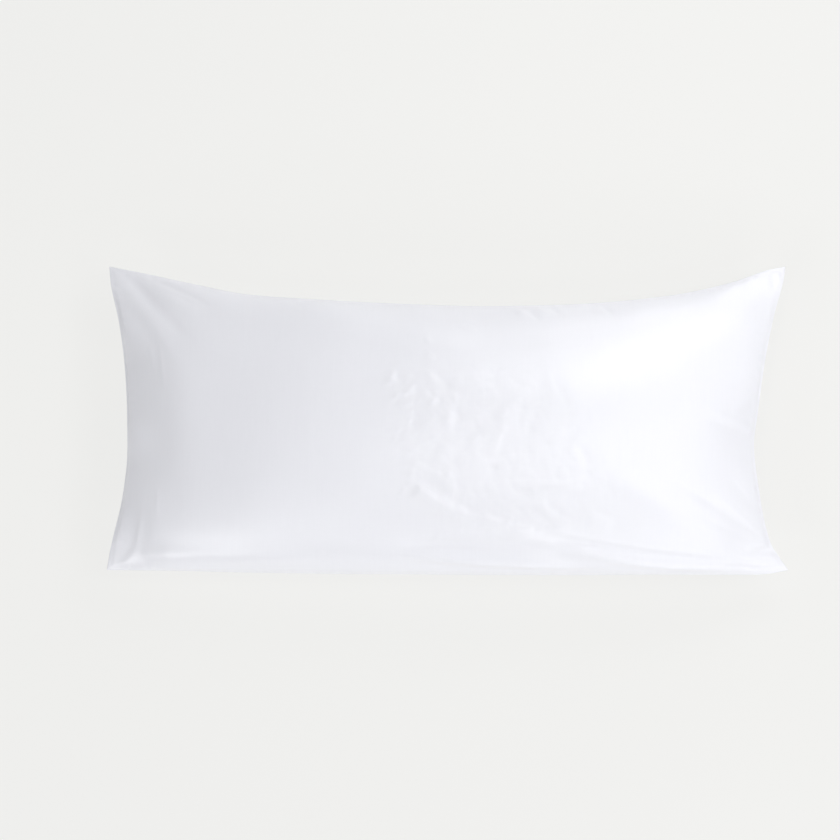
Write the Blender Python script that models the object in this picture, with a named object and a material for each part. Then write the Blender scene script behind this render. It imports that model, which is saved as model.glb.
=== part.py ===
"""A long satin pillowcase with its pillow inside, lying on its back.

The case is one bag: a front and a back that meet in a turned seam, so it is one closed, filled
solid. The filling crowns the front, the four corners stay flat and thin as pointed ears, and the
seam draws in between them. The back is pressed flat in the middle, where it lies.

Metres. +X runs along the length, +Y from the lower long edge to the upper one, +Z up through the
crown. The origin is under the middle of the case, on the surface that it lies on.
"""

import math
from collections import namedtuple

import bmesh
import bpy

# Overall sizes, between the tips of the ears.
TIP_SPAN_X = 0.990
TIP_SPAN_Y = 0.446
THICKNESS = 0.172

# Height of the seam above the surface: the ears droop below the middle of the edges.
SEAM_HEIGHT = 0.070
EAR_HEIGHT = 0.046

# The filling's rise from the seam: (1 - |t| ** power) ** roundness, where t is -1 at one edge and
# 1 at the other. A small roundness turns the edge over sharply, and 1 makes it a thin wedge.
LENGTH_POWER = 2.3
LENGTH_ROUNDNESS = 0.74
WIDTH_POWER = 2.2
UPPER_ROUNDNESS = 0.66
LOWER_ROUNDNESS = 0.50
BACK_ROUNDNESS = 0.52

# The filling has slipped towards the lower edge, and the back would sink this far below the surface
# that it meets.
CROWN_SLIP = 0.10
BACK_SINK = 0.022

# The ears are two layers of cloth with little filling, out to this distance from the tip.
EAR_REACH = 0.105
EAR_FILLING = 0.35
CLOTH_LAYER = 0.0018
LAYER_FADE = 0.007

# Panel steps along and across, drawn together towards the seam by this share.
STEPS_ALONG = 74
STEPS_ACROSS = 38
EDGE_CROWDING = 0.7

# Depth of every edge inside the straight line between its tips; a negative inset bows out. The
# share runs from the left tip to the right one, or from the lower tip to the upper one.
Edge = namedtuple("Edge", "share inset")

UPPER_EDGE = (
    Edge(share=0.00, inset=0.000),
    Edge(share=0.06, inset=0.013),
    Edge(share=0.12, inset=0.027),
    Edge(share=0.21, inset=0.045),
    Edge(share=0.36, inset=0.055),
    Edge(share=0.57, inset=0.062),
    Edge(share=0.71, inset=0.058),
    Edge(share=0.83, inset=0.045),
    Edge(share=0.92, inset=0.025),
    Edge(share=0.97, inset=0.007),
    Edge(share=1.00, inset=0.000),
)
LOWER_EDGE = (
    Edge(share=0.00, inset=0.000),
    Edge(share=0.08, inset=-0.002),
    Edge(share=0.25, inset=-0.006),
    Edge(share=0.50, inset=-0.009),
    Edge(share=0.93, inset=-0.008),
    Edge(share=0.97, inset=-0.006),
    Edge(share=1.00, inset=0.000),
)
LEFT_EDGE = (
    Edge(share=0.00, inset=0.000),
    Edge(share=0.06, inset=0.005),
    Edge(share=0.21, inset=0.021),
    Edge(share=0.34, inset=0.029),
    Edge(share=0.46, inset=0.030),
    Edge(share=0.64, inset=0.026),
    Edge(share=0.80, inset=0.017),
    Edge(share=0.93, inset=0.004),
    Edge(share=1.00, inset=0.000),
)
RIGHT_EDGE = (
    Edge(share=0.00, inset=0.000),
    Edge(share=0.04, inset=0.013),
    Edge(share=0.09, inset=0.027),
    Edge(share=0.22, inset=0.041),
    Edge(share=0.40, inset=0.050),
    Edge(share=0.51, inset=0.044),
    Edge(share=0.67, inset=0.034),
    Edge(share=0.83, inset=0.019),
    Edge(share=0.94, inset=0.005),
    Edge(share=1.00, inset=0.000),
)

# The seam rises and falls a little on its way round: a row for each slow wave, counted along the
# edge. The panel takes the waves up within this distance of the seam.
Wave = namedtuple("Wave", "count start rise")

SEAM_WAVES = (
    Wave(count=2.5, start=0.10, rise=0.0035),
    Wave(count=6.0, start=0.55, rise=0.0014),
)
WAVE_FADE = 0.060

# The main folds of the front: a soft ridge, or a trough where the rise is negative, from start to
# end, bowed to its left by so much, and so wide to each side. Places are in metres from the middle
# between the ear tips.
Fold = namedtuple("Fold", "start end bow width rise")

FRONT_FOLDS = (
    # upper left ear
    Fold(start=(-0.484, 0.212), end=(-0.396, 0.080), bow=0.000, width=0.013, rise=0.0035),
    Fold(start=(-0.474, 0.212), end=(-0.378, 0.108), bow=0.000, width=0.012, rise=-0.0040),
    Fold(start=(-0.452, 0.206), end=(-0.358, 0.135), bow=0.002, width=0.012, rise=0.0028),
    Fold(start=(-0.372, 0.186), end=(-0.322, 0.172), bow=0.000, width=0.013, rise=-0.0024),
    # lower left ear
    Fold(start=(-0.486, -0.206), end=(-0.452, -0.146), bow=-0.008, width=0.012, rise=-0.0030),
    Fold(start=(-0.484, -0.221), end=(-0.418, -0.160), bow=-0.012, width=0.019, rise=0.0036),
    Fold(start=(-0.435, -0.204), end=(-0.396, -0.201), bow=0.000, width=0.013, rise=0.0024),
    # lower right ear
    Fold(start=(0.478, -0.208), end=(0.412, -0.216), bow=0.002, width=0.012, rise=-0.0034),
    Fold(start=(0.478, -0.196), end=(0.424, -0.196), bow=0.002, width=0.012, rise=0.0028),
    Fold(start=(0.474, -0.180), end=(0.424, -0.160), bow=0.002, width=0.012, rise=-0.0030),
    # upper right ear
    Fold(start=(0.480, 0.210), end=(0.450, 0.140), bow=-0.003, width=0.013, rise=-0.0028),
    Fold(start=(0.462, 0.204), end=(0.410, 0.140), bow=-0.002, width=0.015, rise=0.0024),
    # the notch in the right edge
    Fold(start=(0.452, -0.034), end=(0.386, -0.012), bow=0.002, width=0.013, rise=-0.0030),
    Fold(start=(0.448, -0.008), end=(0.390, 0.008), bow=0.002, width=0.013, rise=0.0020),
    # the roll along the lower edge, and the trough over its right half
    Fold(start=(-0.040, -0.202), end=(0.205, -0.205), bow=0.003, width=0.013, rise=0.0026),
    Fold(start=(0.190, -0.200), end=(0.345, -0.214), bow=-0.002, width=0.012, rise=0.0024),
    Fold(start=(0.150, -0.178), end=(0.405, -0.208), bow=-0.004, width=0.016, rise=-0.0036),
    # the crumpled middle
    Fold(start=(-0.104, 0.118), end=(-0.070, -0.060), bow=0.012, width=0.021, rise=-0.0022),
    Fold(start=(-0.082, 0.080), end=(-0.050, 0.020), bow=-0.004, width=0.019, rise=0.0024),
    Fold(start=(-0.046, 0.070), end=(-0.014, 0.010), bow=0.004, width=0.019, rise=-0.0022),
    Fold(start=(-0.036, -0.040), end=(0.020, -0.124), bow=0.008, width=0.020, rise=-0.0024),
    Fold(start=(-0.004, -0.020), end=(0.056, -0.090), bow=-0.006, width=0.019, rise=0.0024),
    Fold(start=(0.030, 0.050), end=(0.090, 0.006), bow=0.006, width=0.020, rise=0.0018),
    Fold(start=(0.064, 0.020), end=(0.090, -0.050), bow=0.004, width=0.019, rise=-0.0024),
    Fold(start=(0.080, -0.066), end=(0.172, -0.112), bow=0.010, width=0.021, rise=-0.0024),
    Fold(start=(0.130, 0.060), end=(0.220, 0.020), bow=-0.008, width=0.022, rise=-0.0018),
    # creases beside the left edge
    Fold(start=(-0.432, 0.110), end=(-0.424, 0.030), bow=0.004, width=0.013, rise=0.0020),
    Fold(start=(-0.430, -0.050), end=(-0.436, -0.150), bow=0.004, width=0.013, rise=-0.0020),
)
# A fold runs out past each end by this share of its length, and fades out within this distance of
# the seam.
FOLD_RUN_OUT = 0.25
SEAM_FADE = 0.012

SATIN_WHITE = (0.90, 0.91, 0.94, 1.0)
SATIN_ROUGHNESS = 0.38


def read_edge(table, share):
    """The inset at a share along an edge, on a smooth curve through the table's rows."""
    last = len(table) - 1
    k = 0
    while k < last - 1 and share > table[k + 1].share:
        k += 1
    lower, upper = table[k], table[k + 1]
    run = upper.share - lower.share
    t = (share - lower.share) / run

    def slope(j):
        before, after = table[max(j - 1, 0)], table[min(j + 1, last)]
        return (after.inset - before.inset) / (after.share - before.share)

    return (
        lower.inset * (2 * t**3 - 3 * t**2 + 1)
        + upper.inset * (3 * t**2 - 2 * t**3)
        + slope(k) * run * (t**3 - 2 * t**2 + t)
        + slope(k + 1) * run * (t**3 - t**2)
    )


def crowded(share):
    """Moves evenly spaced shares towards 0 and 1, where the panel turns over the edge."""
    return (1 - EDGE_CROWDING) * share + EDGE_CROWDING * (1 - math.cos(math.pi * share)) / 2


def ease(value):
    """0 below 0, 1 above 1, and a smooth rise between."""
    value = min(max(value, 0.0), 1.0)
    return value * value * (3 - 2 * value)


def plan(u, v):
    """Where a panel's point lies in plan, filled in between the four drawn edges."""
    lower = -TIP_SPAN_Y / 2 + read_edge(LOWER_EDGE, u)
    upper = TIP_SPAN_Y / 2 - read_edge(UPPER_EDGE, u)
    left = -TIP_SPAN_X / 2 + read_edge(LEFT_EDGE, v)
    right = TIP_SPAN_X / 2 - read_edge(RIGHT_EDGE, v)
    return left + (right - left) * u, lower + (upper - lower) * v


def inside_seam(u, v):
    """Distance in from the nearest edge, and from the nearest ear tip, near enough."""
    x, y = min(u, 1 - u) * TIP_SPAN_X, min(v, 1 - v) * TIP_SPAN_Y
    return min(x, y), math.hypot(x, y)


def seam_height(u, v):
    """Height of the seam at the edges, carried smoothly across the panel without its small waves."""
    along = 1 - (2 * u - 1) ** 4
    across = 1 - (2 * v - 1) ** 4
    from_ear = along + across - along * across
    wave = sum(row.rise * math.sin(2 * math.pi * (row.count * (u + v) + row.start)) for row in SEAM_WAVES)
    wave *= from_ear * (1 - ease(inside_seam(u, v)[0] / WAVE_FADE))
    return EAR_HEIGHT + (SEAM_HEIGHT - EAR_HEIGHT) * from_ear + wave


def filling(u, v, upper_roundness, lower_roundness):
    """How much of the filling's full height stands at a point: 0 on the seam, 1 at the crown."""
    t = 2 * u - 1
    along = (1 - abs(t) ** LENGTH_POWER) ** LENGTH_ROUNDNESS
    t = 2 * v - 1
    t += CROWN_SLIP * (1 - t * t)
    roundness = lower_roundness + (upper_roundness - lower_roundness) * v
    across = (1 - abs(t) ** WIDTH_POWER) ** roundness
    from_tip = inside_seam(u, v)[1]
    return along * across * (EAR_FILLING + (1 - EAR_FILLING) * ease(from_tip / EAR_REACH))


def fold_rise(fold, x, y):
    """What one fold adds at a point of the front."""
    (x0, y0), (x1, y1) = fold.start, fold.end
    length = math.hypot(x1 - x0, y1 - y0)
    ux, uy = (x1 - x0) / length, (y1 - y0) / length
    along = ((x - x0) * ux + (y - y0) * uy) / length
    if not -FOLD_RUN_OUT < along < 1 + FOLD_RUN_OUT:
        return 0.0
    aside = (y - y0) * ux - (x - x0) * uy - fold.bow * 4 * along * (1 - along)
    start = ease((along + FOLD_RUN_OUT) / (2 * FOLD_RUN_OUT))
    end = ease((1 + FOLD_RUN_OUT - along) / (2 * FOLD_RUN_OUT))
    return fold.rise * start * end * math.exp(-((aside / fold.width) ** 2))


def folds(u, v, x, y):
    """What all the folds add to the front. They fade out at the seam, so that both panels meet there."""
    return ease(inside_seam(u, v)[0] / SEAM_FADE) * sum(fold_rise(fold, x, y) for fold in FRONT_FOLDS)


def layer(u, v):
    """Half the thickness of the flat cloth just inside the seam."""
    return CLOTH_LAYER * ease(inside_seam(u, v)[0] / LAYER_FADE)


def front_point(u, v):
    x, y = plan(u, v)
    crown = (THICKNESS - SEAM_HEIGHT) * filling(u, v, UPPER_ROUNDNESS, LOWER_ROUNDNESS)
    return x, y, seam_height(u, v) + layer(u, v) + crown + folds(u, v, x, y)


def back_point(u, v):
    """The back, which takes on the front's folds in the ears and is pressed flat where it lies."""
    x, y = plan(u, v)
    belly = (SEAM_HEIGHT + BACK_SINK) * filling(u, v, BACK_ROUNDNESS, BACK_ROUNDNESS)
    in_ear = 1 - ease(inside_seam(u, v)[1] / EAR_REACH)
    free = seam_height(u, v) - layer(u, v) - belly + in_ear * folds(u, v, x, y)
    return x, y, max(free, 0.0)


def split_towards_tips(faces):
    """Splits each square along the diagonal that points at the nearest ear tip, as the folds do."""
    for face in faces:
        middle = face.calc_center_median()
        side = 1 if middle.x * middle.y > 0 else -1
        by_diagonal = sorted(face.verts, key=lambda vert: vert.co.x + side * vert.co.y)
        bmesh.utils.face_split(face, by_diagonal[0], by_diagonal[-1])


def panel(bm, point, faces_down):
    """Adds one panel: an even grid, split into triangles, whose points are moved to the panel's shape."""
    earlier = len(bm.faces)
    made = bmesh.ops.create_grid(bm, x_segments=STEPS_ALONG, y_segments=STEPS_ACROSS, size=0.5)
    split_towards_tips(list(bm.faces)[earlier:])
    for vert in made["verts"]:
        u = crowded(min(max(vert.co.x + 0.5, 0.0), 1.0))
        v = crowded(min(max(vert.co.y + 0.5, 0.0), 1.0))
        vert.co = point(u, v)
    if faces_down:
        bmesh.ops.reverse_faces(bm, faces=list(bm.faces)[earlier:])


def satin():
    material = bpy.data.materials.new("satin")
    material.use_nodes = True
    shader = material.node_tree.nodes["Principled BSDF"]
    shader.inputs["Base Color"].default_value = SATIN_WHITE
    shader.inputs["Roughness"].default_value = SATIN_ROUGHNESS
    shader.inputs["Metallic"].default_value = 0.0
    return material


def pillowcase(collection):
    """The case: front and back panels sewn together along the seam, centred over the origin."""
    bm = bmesh.new()
    panel(bm, front_point, faces_down=False)
    panel(bm, back_point, faces_down=True)
    bmesh.ops.remove_doubles(bm, verts=bm.verts, dist=0.00005)
    xs = [vert.co.x for vert in bm.verts]
    ys = [vert.co.y for vert in bm.verts]
    middle = ((min(xs) + max(xs)) / 2, (min(ys) + max(ys)) / 2, 0.0)
    bmesh.ops.translate(bm, verts=bm.verts, vec=[-value for value in middle])

    mesh = bpy.data.meshes.new("pillowcase")
    bm.to_mesh(mesh)
    bm.free()
    mesh.shade_smooth()
    mesh.materials.append(satin())
    case = bpy.data.objects.new("pillowcase", mesh)
    collection.objects.link(case)
    return case


def main():
    for old in list(bpy.data.objects):
        bpy.data.objects.remove(old, do_unlink=True)
    collection = bpy.data.collections.new("filled_pillowcase")
    bpy.context.scene.collection.children.link(collection)
    pillowcase(collection)


main()
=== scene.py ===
import math
from collections import namedtuple

import bpy
import numpy as np
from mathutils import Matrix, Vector


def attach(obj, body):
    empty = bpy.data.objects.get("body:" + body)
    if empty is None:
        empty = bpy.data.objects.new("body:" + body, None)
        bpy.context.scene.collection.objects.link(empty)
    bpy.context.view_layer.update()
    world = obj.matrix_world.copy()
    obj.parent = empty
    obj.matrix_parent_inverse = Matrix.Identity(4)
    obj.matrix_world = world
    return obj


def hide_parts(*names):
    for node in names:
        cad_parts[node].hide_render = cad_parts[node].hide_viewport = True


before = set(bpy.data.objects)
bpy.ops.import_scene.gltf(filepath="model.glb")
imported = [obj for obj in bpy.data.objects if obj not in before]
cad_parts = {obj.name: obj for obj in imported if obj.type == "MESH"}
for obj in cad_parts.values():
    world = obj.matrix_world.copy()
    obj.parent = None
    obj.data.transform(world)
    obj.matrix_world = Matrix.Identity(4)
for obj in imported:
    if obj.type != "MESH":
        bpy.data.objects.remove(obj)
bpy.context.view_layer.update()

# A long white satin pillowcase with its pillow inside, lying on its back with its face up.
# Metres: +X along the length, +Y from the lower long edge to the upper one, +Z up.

# ---------------------------------------------------------------- sizes of the case

TIP_SPAN_X = 0.990
TIP_SPAN_Y = 0.446
THICKNESS = 0.172
SEAM_HEIGHT = 0.070
EAR_HEIGHT = 0.046
# The seam climbs from the ears to its full height; a higher power keeps the climb nearer to them.
SEAM_CLIMB_POWER = 4

# The filled shape: a higher power makes it fuller towards its ends, and a lower roundness makes it
# steeper beside the seam.
LENGTH_POWER = 2.3
LENGTH_ROUNDNESS = 0.74
WIDTH_POWER = 2.2
UPPER_ROUNDNESS = 0.66
LOWER_ROUNDNESS = 0.50
BACK_ROUNDNESS = 0.52
# The crown lies this share of half the width below the middle.
CROWN_SLIP = 0.10
# The back would bulge this far below the surface that it lies on, so it is pressed flat there.
BACK_SINK = 0.022

# From this far in an ear holds all of the filling's height, and at its tip only this share of it.
EAR_REACH = 0.105
EAR_FILLING = 0.35
# Half the thickness of the cloth at the seam, and how far in it is rounded over the edge.
CLOTH_LAYER = 0.0010
LAYER_FADE = 0.004
# Beside the short edges a strip about this wide lies nearly flat before the cloth climbs the filling.
FLANGE = 0.0030

# Cells of the front along and across; the back has half as many each way.
FRONT_ALONG = 400
FRONT_ACROSS = 188
# Beside the seam there are this many more cells for each one elsewhere, over this far.
CROWDING = 2.5
CROWDED_REACH = 0.012
# Points that a profile's length is measured through.
PROFILE_POINTS = 6001
# A length is kept at least this long before something is divided by it.
LEAST_LENGTH = 1e-12

# How far each edge is drawn in from the straight line between its ear tips, at shares of its length:
# from the left for the upper and lower edges, and from below for the left and right ones.
Edge = namedtuple("Edge", "share inset")
UPPER_EDGE = (
    Edge(share=0.00, inset=0.000),
    Edge(share=0.06, inset=0.013),
    Edge(share=0.12, inset=0.027),
    Edge(share=0.21, inset=0.045),
    Edge(share=0.36, inset=0.055),
    Edge(share=0.57, inset=0.062),
    Edge(share=0.71, inset=0.058),
    Edge(share=0.83, inset=0.045),
    Edge(share=0.92, inset=0.025),
    Edge(share=0.97, inset=0.007),
    Edge(share=1.00, inset=0.000),
)
LOWER_EDGE = (
    Edge(share=0.00, inset=0.000),
    Edge(share=0.08, inset=-0.002),
    Edge(share=0.25, inset=-0.006),
    Edge(share=0.50, inset=-0.009),
    Edge(share=0.93, inset=-0.008),
    Edge(share=0.97, inset=-0.006),
    Edge(share=1.00, inset=0.000),
)
LEFT_EDGE = (
    Edge(share=0.00, inset=0.000),
    Edge(share=0.06, inset=0.005),
    Edge(share=0.21, inset=0.021),
    Edge(share=0.34, inset=0.029),
    Edge(share=0.46, inset=0.030),
    Edge(share=0.64, inset=0.026),
    Edge(share=0.80, inset=0.017),
    Edge(share=0.93, inset=0.004),
    Edge(share=1.00, inset=0.000),
)
RIGHT_EDGE = (
    Edge(share=0.00, inset=0.000),
    Edge(share=0.04, inset=0.013),
    Edge(share=0.09, inset=0.027),
    Edge(share=0.22, inset=0.041),
    Edge(share=0.40, inset=0.050),
    Edge(share=0.51, inset=0.044),
    Edge(share=0.67, inset=0.034),
    Edge(share=0.83, inset=0.019),
    Edge(share=0.94, inset=0.005),
    Edge(share=1.00, inset=0.000),
)

# The seam rises and falls a little on its way round, a row for each set of waves. They die out over
# this far in from the seam.
Wave = namedtuple("Wave", "count start rise")
SEAM_WAVES = (
    Wave(count=2.5, start=0.10, rise=0.0035),
    Wave(count=6.0, start=0.55, rise=0.0014),
)
WAVE_FADE = 0.060

# The folds that the cloth is drawn into: a soft ridge, or a trough where the rise is negative, from
# start to end, bowed to its left by so much, and so wide to each side. Places are in plan, from the
# middle between the ear tips; the bow and the width are measured on the cloth.
Fold = namedtuple("Fold", "start end bow width rise")
EAR_FOLDS = (
    # upper left ear
    Fold(start=(-0.484, 0.212), end=(-0.396, 0.080), bow=0.000, width=0.0130, rise=0.0014),
    Fold(start=(-0.477, 0.216), end=(-0.378, 0.108), bow=0.000, width=0.0120, rise=-0.0017),
    Fold(start=(-0.452, 0.206), end=(-0.362, 0.135), bow=0.002, width=0.0110, rise=0.0011),
    Fold(start=(-0.435, 0.205), end=(-0.350, 0.160), bow=0.000, width=0.0090, rise=-0.0008),
    Fold(start=(-0.418, 0.190), end=(-0.363, 0.164), bow=0.000, width=0.0045, rise=0.0004),
    Fold(start=(-0.372, 0.190), end=(-0.328, 0.176), bow=0.000, width=0.0060, rise=-0.0010),
    Fold(start=(-0.230, 0.168), end=(-0.208, 0.152), bow=0.000, width=0.0070, rise=-0.0006),
    # lower left ear
    Fold(start=(-0.484, -0.221), end=(-0.418, -0.160), bow=-0.012, width=0.0190, rise=0.0014),
    Fold(start=(-0.482, -0.221), end=(-0.441, -0.150), bow=-0.014, width=0.0060, rise=0.0007),
    Fold(start=(-0.435, -0.207), end=(-0.400, -0.205), bow=0.000, width=0.0120, rise=0.0009),
    Fold(start=(-0.332, -0.212), end=(-0.290, -0.213), bow=0.000, width=0.0100, rise=0.0007),
    # lower right ear
    Fold(start=(0.436, -0.193), end=(0.470, -0.184), bow=0.000, width=0.0040, rise=0.0012),
    Fold(start=(0.440, -0.200), end=(0.474, -0.195), bow=0.000, width=0.0050, rise=-0.0014),
    Fold(start=(0.431, -0.209), end=(0.476, -0.205), bow=0.000, width=0.0060, rise=0.0010),
    Fold(start=(0.420, -0.213), end=(0.470, -0.217), bow=-0.002, width=0.0040, rise=-0.0014),
    Fold(start=(0.405, -0.219), end=(0.425, -0.223), bow=0.000, width=0.0040, rise=0.0008),
    # upper right ear
    Fold(start=(0.474, 0.218), end=(0.478, 0.192), bow=0.000, width=0.0050, rise=-0.0012),
    Fold(start=(0.482, 0.214), end=(0.487, 0.196), bow=0.000, width=0.0030, rise=0.0006),
)
SIDE_FOLDS = (
    # beside the left edge
    Fold(start=(-0.431, 0.095), end=(-0.428, 0.066), bow=0.000, width=0.0028, rise=0.0004),
    Fold(start=(-0.417, 0.096), end=(-0.410, 0.037), bow=0.000, width=0.0032, rise=0.0005),
    Fold(start=(-0.418, -0.113), end=(-0.421, -0.146), bow=0.000, width=0.0028, rise=0.0006),
    Fold(start=(-0.444, -0.151), end=(-0.450, -0.186), bow=0.000, width=0.0035, rise=0.0005),
    # the two rolls along the lower edge and the troughs above them
    Fold(start=(-0.045, -0.209), end=(0.190, -0.221), bow=0.000, width=0.0110, rise=0.0078),
    Fold(start=(0.200, -0.206), end=(0.400, -0.224), bow=-0.002, width=0.0110, rise=0.0070),
    Fold(start=(0.160, -0.188), end=(0.420, -0.217), bow=-0.003, width=0.0100, rise=-0.0045),
    Fold(start=(-0.040, -0.195), end=(0.150, -0.200), bow=0.000, width=0.0100, rise=-0.0036),
    # the long soft crest where the right end turns away
    Fold(start=(0.150, 0.070), end=(0.219, -0.076), bow=0.000, width=0.0220, rise=0.0008),
    Fold(start=(0.219, -0.076), end=(0.305, -0.137), bow=0.000, width=0.0200, rise=0.0022),
    Fold(start=(0.305, -0.137), end=(0.412, -0.196), bow=0.000, width=0.0180, rise=0.0020),
    # the soft crest where the left end turns away, and the roll under it
    Fold(start=(-0.386, 0.100), end=(-0.380, -0.120), bow=0.000, width=0.0400, rise=0.0034),
    Fold(start=(-0.400, -0.203), end=(-0.210, -0.210), bow=0.000, width=0.0140, rise=0.0030),
    # the notch in the right edge
    Fold(start=(0.448, -0.036), end=(0.386, -0.012), bow=0.000, width=0.0080, rise=-0.0022),
    Fold(start=(0.446, -0.022), end=(0.386, -0.004), bow=0.000, width=0.0070, rise=0.0016),
    Fold(start=(0.439, 0.021), end=(0.413, 0.006), bow=0.000, width=0.0080, rise=0.0018),
    # under the upper edge
    Fold(start=(0.098, 0.156), end=(0.111, 0.140), bow=0.000, width=0.0050, rise=0.0010),
    Fold(start=(0.117, 0.150), end=(0.132, 0.136), bow=0.000, width=0.0045, rise=-0.0012),
    Fold(start=(0.128, 0.155), end=(0.147, 0.143), bow=0.000, width=0.0050, rise=0.0012),
    Fold(start=(0.148, 0.159), end=(0.160, 0.146), bow=0.000, width=0.0045, rise=-0.0012),
    Fold(start=(0.219, 0.163), end=(0.237, 0.146), bow=0.000, width=0.0040, rise=-0.0010),
    Fold(start=(0.018, 0.126), end=(0.042, 0.118), bow=0.000, width=0.0045, rise=0.0010),
    Fold(start=(-0.031, 0.105), end=(-0.026, 0.096), bow=0.000, width=0.0040, rise=0.0008),
)
# On the back the cloth fans out from the ears and gathers a little under the long edges.
BACK_FOLDS = (
    Fold(start=(-0.476, 0.208), end=(-0.395, 0.120), bow=0.003, width=0.0100, rise=0.0024),
    Fold(start=(-0.455, 0.206), end=(-0.345, 0.150), bow=-0.003, width=0.0090, rise=-0.0018),
    Fold(start=(-0.474, 0.180), end=(-0.430, 0.085), bow=0.002, width=0.0080, rise=-0.0016),
    Fold(start=(-0.478, -0.208), end=(-0.400, -0.125), bow=-0.003, width=0.0110, rise=0.0026),
    Fold(start=(-0.460, -0.214), end=(-0.350, -0.160), bow=0.002, width=0.0090, rise=-0.0016),
    Fold(start=(0.472, 0.205), end=(0.392, 0.115), bow=0.002, width=0.0110, rise=0.0024),
    Fold(start=(0.452, 0.202), end=(0.340, 0.150), bow=0.003, width=0.0080, rise=-0.0016),
    Fold(start=(0.470, 0.170), end=(0.425, 0.070), bow=-0.003, width=0.0090, rise=0.0014),
    Fold(start=(0.476, -0.206), end=(0.398, -0.130), bow=0.003, width=0.0100, rise=0.0024),
    Fold(start=(0.450, -0.212), end=(0.345, -0.165), bow=-0.002, width=0.0080, rise=-0.0018),
    Fold(start=(-0.240, 0.148), end=(-0.190, 0.118), bow=0.004, width=0.0090, rise=0.0012),
    Fold(start=(0.060, 0.142), end=(0.020, 0.110), bow=-0.003, width=0.0080, rise=-0.0010),
    Fold(start=(0.230, 0.146), end=(0.200, 0.112), bow=0.002, width=0.0080, rise=0.0012),
    Fold(start=(-0.120, -0.205), end=(-0.160, -0.172), bow=0.003, width=0.0090, rise=0.0012),
    Fold(start=(0.130, -0.206), end=(0.100, -0.170), bow=-0.003, width=0.0080, rise=-0.0010),
)
# The folds of the back have their full rise from this high up, and none where it lies flat.
BACK_FREE_HEIGHT = 0.012
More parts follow.
